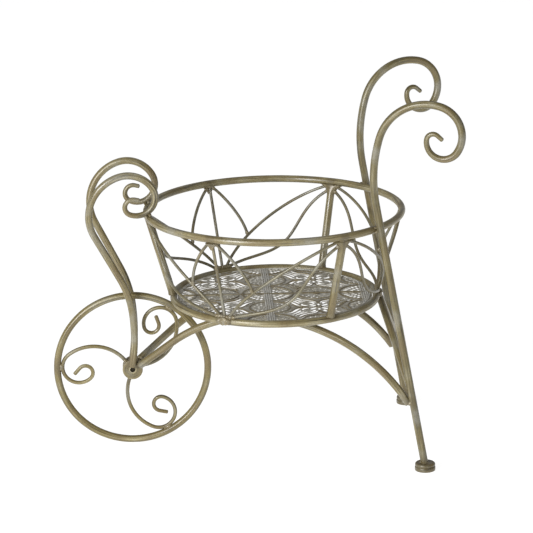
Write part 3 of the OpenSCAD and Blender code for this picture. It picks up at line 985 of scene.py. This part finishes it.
# Weld beads over the joints
def closest(line, radius, z):
    # the point of a rod nearest a ring, and the ring's own point beside it
    found = []
    for p in line:
        flat = Vector((p.x - basketX, p.y, 0)).normalized() * radius
        q = Vector((flat.x + basketX, flat.y, z))
        found.append(((p - q).length, p, q))
    return min(found, key=lambda f: f[0])[1:]


def weldPair(place, radii, out, flat, lumps=0.14):
    weldAt(place, radii, out, flat, lumps=lumps)
    weldAt(flip(place), radii, flip(out), flip(flat), lumps=lumps)


for line, halfLength in ((forkLine, 7.5), (legLine, 7.0)):
    p, q = closest(line, topR, topZ)
    between = (p - q).normalized()
    ringWay = Vector((-q.y, q.x - basketX, 0)).normalized()
    for side in (1, -1):  # a bead above and one below the place where the rods touch
        out = between.cross(ringWay) * side
        weldPair((p + q) / 2 + out * 2.6, (halfLength, 2.4, 3.4), out, between)
for height, toward, radii in ((archRod["legHeight"], archLine[-8], (6.2, 3.2, 6.2)),
                              (braceRod["legHeight"], braceBack, (5.8, 3.0, 5.8))):
    joint = legAt(height)
    out = (toward - joint).normalized()
    weldPair(joint + out * 4.6, radii, out, northY)
weldPair(braceBack + Vector((-2.0, 0, 3.2)), (7.0, 3.2, 4.4), Vector((1, 0, -1)), northY)
for x, z, run in ((1.0, 8.5, 5.2), (9.5, 8.5, 5.6)):  # the feet of the fork scroll and the arch on the lug
    weldPair(Vector((wheelX + x, -lugOut - 0.4, wheelZ + z)), (run, 2.6, run), -northY, up, lumps=0.2)
for angle in range(12, 360, 45):  # tacks under the edge of the plate
    way = roundWay(angle)
    weldAt(Vector((basketX, 0, plateTop - 1.6)) + way * plate["tackReach"], (3.6, 1.6, 2.2), -up, way)


def addWelds(name, body, slot):
    points, faces, lines = [], [], []
    rings, sides = 12, 20
    for number, weld in enumerate(welds):
        if weld["body"] != body:
            continue
        base, seed = len(points), 1.7 * number
        for i in range(rings + 1):
            for j in range(sides):
                a, b = 180 * i / rings, 360 * j / sides
                ball = (sind(a) * cosd(b), cosd(a), sind(a) * sind(b))
                way = sum((axis * part * r for axis, part, r in zip(weld["axes"], ball, weld["radii"])),
                          Vector())
                lump = 1 - weld["lumps"] * (0.5 + noise.noise(way * 0.32 + Vector((seed, seed * 0.3, 0))))
                points.append((weld["place"] + way * lump) * mm)
                lines.append(way * mm + Vector((seed, 0, 0)))
        faces += skinFaces(base, rings + 1, sides, flipped=True)
    addPiece(name, newMesh(name, points, faces, lines), weldPaint, body, slot)


addWelds("weldBeadsFrame", "frame", "rod_paint")
addWelds("weldBeadsWheel", "wheel", "wheel_paint")

# Dirt and painted shade are strongest at a weld and fade along the rods
grimeAndShadeSizes = {
    "onRods": 0.8,
    "onWelds": 0.25,  # the beads themselves were brushed pale
    "spread": 2.2,  # it reaches this many of the bead's longest radius
    "beyond": 3.0,  # and this many mm more
}
tree = kdtree.KDTree(len(welds))
for number, weld in enumerate(welds):
    tree.insert(weld["place"] * mm, number)
tree.balance()
for piece in madePieces:
    depth = grimeAndShadeSizes["onWelds" if piece.name.startswith("weld") else "onRods"]
    values = []
    for vertex in piece.data.vertices:
        place, number, gap = tree.find(vertex.co)
        reach = max(welds[number]["radii"]) * grimeAndShadeSizes["spread"] + grimeAndShadeSizes["beyond"]
        # painted shade of the joint, with dirt: the mask rises toward the nearest weld
        values.append(depth * ease(1 - gap / (reach * mm)))
    attribute = piece.data.attributes.new("grimeAndShade", "FLOAT", "POINT")
    attribute.data.foreach_set("value", values)
print("welds and grime made")


# The floor, the lights and the camera
studio = {
    "floorGlow": 0.88,  # the paper is lit from below, so the rods catch it on their undersides
    "ceiling": 0.36,
    "wallLeft": 0.40,
    "wallRight": 0.12,
    "wallBehind": 0.5,
    "floorHalf": 14.0,  # metres
    "floorDrop": 0.0003,  # so that it lies just under the feet
    "keyLamp": ((-1.6, -2.2, 1.05), (0, 0, 0.22), 1.0, 68.0),  # place, aim and width in metres, watts
    "fillLamp": ((2.0, -2.2, 1.0), (0, 0, 0.25), 1.4, 6.0),
}


def addFloor():
    mesh = bpy.data.meshes.new("studioFloor")
    half, z = studio["floorHalf"], -studio["floorDrop"]
    corners = [(-half, -half, z), (half, -half, z), (half, half, z), (-half, half, z)]
    mesh.from_pydata(corners, [], [(0, 1, 2, 3)])
    material, nodes = newMaterial("whiteStudioPaper")  # matt seamless paper: white with no gloss
    shader = addNode(nodes, "ShaderNodeBsdfPrincipled", {
        "Base Color": linearColour("#a6a6a6"), "Roughness": 0.95, "Specular IOR Level": 0.1,
        "Emission Color": (1, 1, 1, 1), "Emission Strength": studio["floorGlow"]})
    addNode(nodes, "ShaderNodeOutputMaterial", links={"Surface": shader.outputs[0]})
    mesh.materials.append(material)
    floor = newObject("studioFloor", mesh)


def addLamp(name, place, target, width, power):
    lamp = bpy.data.lights.new(name, "AREA")
    lamp.shape = "DISK"
    lamp.size = width
    lamp.energy = power
    holder = newObject(name, lamp)
    holder.location = place
    holder.rotation_euler = (Vector(target) - Vector(place)).to_track_quat("-Z", "Y").to_euler()


def addRoom():
    # a dim room: a pale wall to the left, a grey one behind, a dark one to the right and a grey ceiling
    world = bpy.data.worlds.new("studioRoom")
    world.use_nodes = True
    nodes = world.node_tree
    nodes.nodes.clear()
    way = addNode(nodes, "ShaderNodeTexCoord").outputs["Generated"]
    parts = addNode(nodes, "ShaderNodeSeparateXYZ", links={0: way})
    glow = addNode(nodes, "ShaderNodeMapRange", {
        "From Min": -0.9, "From Max": 0.6, "To Min": studio["wallLeft"], "To Max": studio["wallRight"]},
        {"Value": parts.outputs["X"]})
    for axis, wall in (("Y", "wallBehind"), ("Z", "ceiling")):
        toward = addNode(nodes, "ShaderNodeMapRange", {"From Min": 0.1, "From Max": 0.8},
                         {"Value": parts.outputs[axis]})
        glow = addNode(nodes, "ShaderNodeMix", {"data_type": "FLOAT", 3: studio[wall]},
                       {0: toward.outputs[0], 2: glow.outputs[0]})
    glow = addNode(nodes, "ShaderNodeBackground", links={"Strength": glow.outputs[0]})
    addNode(nodes, "ShaderNodeOutputWorld", links={"Surface": glow.outputs[0]})
    bpy.context.scene.world = world


addFloor()
addRoom()
for name in ("keyLamp", "fillLamp"):
    addLamp(name, *studio[name])
bpy.context.scene.view_settings.view_transform = "Standard"

view = {  # the camera that fits the photograph: pixels, degrees and millimetres
    "focal": 2906.4,
    "width": 533,
    "azimuth": 2.278,
    "elevation": 15.671,
    "roll": -0.683,
    "distance": 4008.675,
    "target": (19.481, 0.0, 250.682),
}
sight = Vector((sind(view["azimuth"]) * cosd(view["elevation"]),
                cosd(view["azimuth"]) * cosd(view["elevation"]), -sind(view["elevation"])))
level = sight.cross(up).normalized()
rising = level.cross(sight)
level, rising = (cosd(view["roll"]) * level + sind(view["roll"]) * rising,
                 -sind(view["roll"]) * level + cosd(view["roll"]) * rising)
camera = bpy.data.cameras.new("studioCamera")
camera.sensor_width = 36.0
camera.lens = view["focal"] / view["width"] * camera.sensor_width
camera.clip_end = 100.0
holder = newObject("studioCamera", camera)
place = (Vector(view["target"]) - sight * view["distance"]) * mm
holder.matrix_world = Matrix.Translation(place) @ Matrix((level, rising, -sight)).transposed().to_4x4()
bpy.context.scene.camera = holder
print("stage made")
